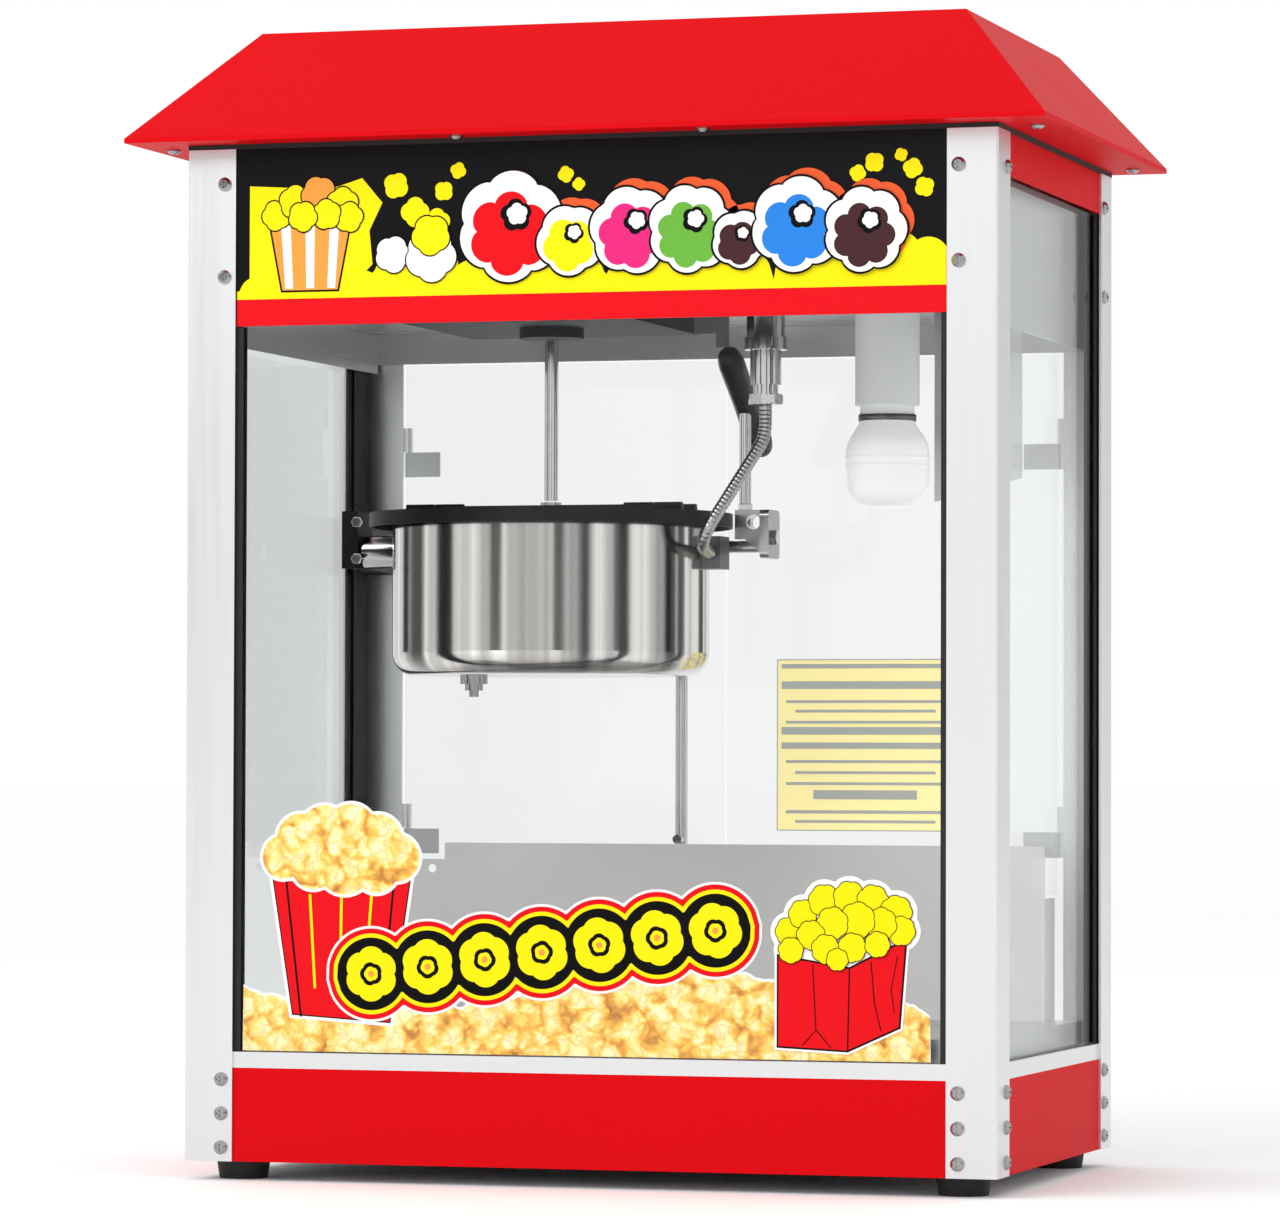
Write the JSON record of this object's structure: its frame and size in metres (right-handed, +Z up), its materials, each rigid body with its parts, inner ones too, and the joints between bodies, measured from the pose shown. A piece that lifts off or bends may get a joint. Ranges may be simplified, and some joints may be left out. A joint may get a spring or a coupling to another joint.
{
  "type": "popcorn maker",
  "caption": "Table-top popcorn maker: glazed cabinet under a hipped red roof, tilting kettle with split lid, rear doors and crumb drawer.",
  "frame": {"origin": "on the surface it stands on, under the middle of the roof's outline", "axes": "+Z up, +X to the right seen from the glazed front, +Y from the front towards the rear doors"},
  "size_m": [0.565, 0.343, 0.693],
  "materials": {
    "polished_steel": "polished",
    "red_enamel": "gloss",
    "black_rubber": "matt",
    "sheet_steel": "brushed",
    "window_glass": "clear",
    "clear_acrylic": "clear",
    "sign_paint": "gloss",
    "black_metal": "satin",
    "black_plastic": "gloss",
    "motor_metal": "cast",
    "white_ceramic": "satin",
    "lamp_glass": "opal",
    "nickel_fitting": "polished"
  },
  "bodies": {
    "root": {"post_front_left": "polished_steel", "post_front_right": "polished_steel", "post_rear_left": "polished_steel", "post_rear_right": "polished_steel", "roof_shell": "red_enamel", "roof_gasket": "black_rubber", "feet": "black_rubber", "base_front_panel": "red_enamel", "base_rear_panel": "red_enamel", "base_left_panel": "red_enamel", "base_right_panel": "red_enamel", "base_pan": "sheet_steel", "sill_frame": "polished_steel", "floor_tray": "sheet_steel", "front_glass": "window_glass", "left_glass": "window_glass", "right_glass": "window_glass", "glass_seals": "black_rubber", "sign_board": "sign_paint", "side_bands": "red_enamel", "left_board": "sheet_steel", "right_board": "sheet_steel", "ceiling_plate": "sheet_steel", "rear_board": "sheet_steel", "inlet_gland": "black_plastic", "motor_plate": "black_metal", "gear_motor": "motor_metal", "lamp_socket": "white_ceramic", "lamp_globe": "lamp_glass", "lamp_shield": "black_metal", "lead_connector": "nickel_fitting", "kettle_lead": "sheet_steel", "kettle_arm": "black_metal", "handle_stop": "black_metal", "door_hinges": "sheet_steel", "dam_plate": "sheet_steel", "pan_screws": "sheet_steel"},
    "kettle": {"kettle_shell": "polished_steel", "kettle_pan": "sheet_steel", "heater_ring": "motor_metal", "base_bolt": "sheet_steel", "terminal_cover": "black_metal", "lid_bridge": "black_metal", "pivot_boss": "polished_steel", "handle_bracket": "polished_steel", "handle_stem": "polished_steel", "handle_grip": "black_plastic"},
    "drive": {"drive_shaft": "polished_steel"},
    "stirrer": {"agitator": "sheet_steel"},
    "front_flap": {"lid_flap_front": "black_metal"},
    "rear_flap": {"lid_flap_rear": "black_metal"},
    "left_door": {"door_left": "clear_acrylic", "door_left_straps": "sheet_steel", "pull_bar": "nickel_fitting"},
    "right_door": {"door_right": "clear_acrylic", "door_right_straps": "sheet_steel"},
    "drawer": {"crumb_drawer": "sheet_steel"},
    "heat_switch": {"heat_rocker": "black_plastic"},
    "motor_switch": {"motor_rocker": "black_plastic"},
    "lamp_switch": {"lamp_rocker": "black_plastic"}
  },
  "joints": [
    {"name": "kettle_tilt", "type": "hinge", "parent": "root", "child": "kettle", "pos_m": [-0.2, 0.0435, 0.3825], "axis": [1, 0, 0], "range_deg": [0, 80], "deforming": ["kettle_lead"]},
    {"name": "drive_spin", "type": "hinge", "parent": "root", "child": "drive", "pos_m": [-0.072, 0.0135, 0.4315], "axis": [0, 0, 1], "continuous": true},
    {"name": "stirrer_spin", "type": "hinge", "parent": "kettle", "child": "stirrer", "pos_m": [-0.072, 0.0135, 0.3415], "axis": [0, 0, 1], "continuous": true},
    {"name": "front_flap_hinge", "type": "hinge", "parent": "kettle", "child": "front_flap", "pos_m": [-0.072, -0.0017, 0.4076], "axis": [-1, 0, 0], "range_deg": [0, 95]},
    {"name": "rear_flap_hinge", "type": "hinge", "parent": "kettle", "child": "rear_flap", "pos_m": [-0.072, 0.0287, 0.4076], "axis": [1, 0, 0], "range_deg": [0, 95]},
    {"name": "left_door_hinge", "type": "hinge", "parent": "root", "child": "left_door", "pos_m": [-0.2172, 0.1629, 0.3315], "axis": [0, 0, 1], "range_deg": [0, 110]},
    {"name": "right_door_hinge", "type": "hinge", "parent": "root", "child": "right_door", "pos_m": [0.2172, 0.1629, 0.3315], "axis": [0, 0, -1], "range_deg": [0, 110]},
    {"name": "drawer_slide", "type": "slide", "parent": "root", "child": "drawer", "axis": [0, 1, 0], "range_m": [0, 0.2]},
    {"name": "heat_rocker_pivot", "type": "hinge", "parent": "root", "child": "heat_switch", "pos_m": [-0.06, 0.152, 0.5675], "axis": [1, 0, 0], "range_deg": [0, 12]},
    {"name": "motor_rocker_pivot", "type": "hinge", "parent": "root", "child": "motor_switch", "pos_m": [0, 0.152, 0.5675], "axis": [1, 0, 0], "range_deg": [0, 12]},
    {"name": "lamp_rocker_pivot", "type": "hinge", "parent": "root", "child": "lamp_switch", "pos_m": [0.06, 0.152, 0.5675], "axis": [1, 0, 0], "range_deg": [0, 12]}
  ],
  "couplings": [
    {"joint": "stirrer_spin", "follows": "drive_spin", "ratio": 1}
  ]
}
